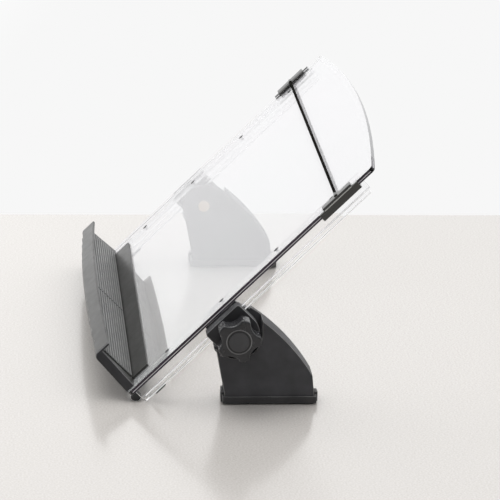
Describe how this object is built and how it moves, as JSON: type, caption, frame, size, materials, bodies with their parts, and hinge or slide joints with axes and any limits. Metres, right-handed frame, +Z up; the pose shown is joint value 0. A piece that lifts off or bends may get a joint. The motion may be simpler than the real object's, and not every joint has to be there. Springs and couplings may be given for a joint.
{
  "type": "copy holder with line guide",
  "caption": "Clear sloping document panel with a paper ledge and a sliding line guide, carried by two feet whose star knobs lock its tilt and height.",
  "frame": {"origin": "on the desk, under the centre of the overall box", "axes": "+X to the reader's right along the ledge, +Y away from the reader, +Z up"},
  "size_m": [0.5152, 0.2882, 0.2581],
  "materials": {
    "clear_acrylic": "clear cast acrylic, polished faces, dark reflecting edges",
    "ledge_plastic": "satin mid grey moulded plastic",
    "end_cap_plastic": "satin charcoal moulded plastic",
    "mat_rubber": "ribbed black rubber",
    "strip_plastic": "satin black extrusion",
    "black_screw": "black oxide screws",
    "rubber": "matt black rubber",
    "guide_rod": "gloss black rod",
    "slider_plastic": "satin charcoal moulded plastic",
    "felt": "short black felt",
    "bracket_plastic": "fine textured charcoal plastic",
    "washer": "black fibre washer",
    "foot_plastic": "fine textured charcoal plastic",
    "shoe_plastic": "fine textured black plastic",
    "bolt_brass": "turned brass head",
    "insert_steel": "plated steel",
    "knob_plastic": "satin charcoal moulded plastic",
    "cap_plastic": "satin charcoal moulded plastic"
  },
  "bodies": {
    "right_foot": {"right_foot_shell": "foot_plastic", "right_foot_plate": "foot_plastic", "right_foot_shoe": "shoe_plastic", "right_foot_pads": "rubber", "right_foot_screws": "black_screw", "right_pivot_bolt": "bolt_brass", "right_friction_washer": "washer", "right_knob_washer": "washer"},
    "right_bracket": {"right_bracket_ear": "bracket_plastic", "right_bracket_jaw": "bracket_plastic"},
    "panel": {"document_panel": "clear_acrylic", "ledge_body": "ledge_plastic", "ledge_clamp_strip": "strip_plastic", "ledge_screws": "black_screw", "right_ledge_end_cap": "end_cap_plastic", "left_ledge_end_cap": "end_cap_plastic", "right_ledge_mat": "mat_rubber", "left_ledge_mat": "mat_rubber", "right_side_rail": "clear_acrylic", "left_side_rail": "clear_acrylic", "right_rail_screws": "black_screw", "left_rail_screws": "black_screw", "right_rail_bumper": "rubber", "left_rail_bumper": "rubber", "right_rail_grip": "rubber", "left_rail_grip": "rubber"},
    "line_guide": {"guide_bar": "guide_rod", "right_guide_slider": "slider_plastic", "left_guide_slider": "slider_plastic", "right_guide_pad": "felt", "left_guide_pad": "felt"},
    "left_bracket": {"left_bracket_ear": "bracket_plastic", "left_bracket_jaw": "bracket_plastic"},
    "left_foot": {"left_foot_shell": "foot_plastic", "left_foot_plate": "foot_plastic", "left_foot_shoe": "shoe_plastic", "left_foot_pads": "rubber", "left_foot_screws": "black_screw", "left_pivot_bolt": "bolt_brass", "left_friction_washer": "washer", "left_knob_washer": "washer"},
    "right_knob": {"right_knob": "knob_plastic", "right_knob_insert": "insert_steel", "right_knob_cap": "cap_plastic"},
    "left_knob": {"left_knob": "knob_plastic", "left_knob_insert": "insert_steel", "left_knob_cap": "cap_plastic"}
  },
  "joints": [
    {"name": "panel_tilt", "type": "hinge", "parent": "right_foot", "child": "right_bracket", "pos_m": [0.2295, 0.00124, 0.07318], "axis": [1, 0, 0], "range_deg": [-30, 0]},
    {"name": "panel_height", "type": "slide", "parent": "right_bracket", "child": "panel", "axis": [0, 0.7071, 0.7071], "range_m": [0, 0.06]},
    {"name": "left_height", "type": "slide", "parent": "panel", "child": "left_bracket", "axis": [0, 0.7071, 0.7071], "range_m": [-0.06, 0]},
    {"name": "left_tilt", "type": "hinge", "parent": "left_bracket", "child": "left_foot", "pos_m": [-0.2295, 0.00124, 0.07318], "axis": [1, 0, 0], "range_deg": [0, 30]},
    {"name": "guide_travel", "type": "slide", "parent": "panel", "child": "line_guide", "axis": [0, 0.7071, 0.7071], "range_m": [-0.21, 0.018]},
    {"name": "right_knob_turn", "type": "hinge", "parent": "right_foot", "child": "right_knob", "pos_m": [0.246, 0.00124, 0.07318], "axis": [1, 0, 0], "range_deg": [-360, 0]},
    {"name": "left_knob_turn", "type": "hinge", "parent": "left_foot", "child": "left_knob", "pos_m": [-0.246, 0.00124, 0.07318], "axis": [1, 0, 0], "range_deg": [0, 360]}
  ],
  "couplings": [
    {"joint": "left_height", "follows": "panel_height", "ratio": -1},
    {"joint": "left_tilt", "follows": "panel_tilt", "ratio": -1}
  ]
}
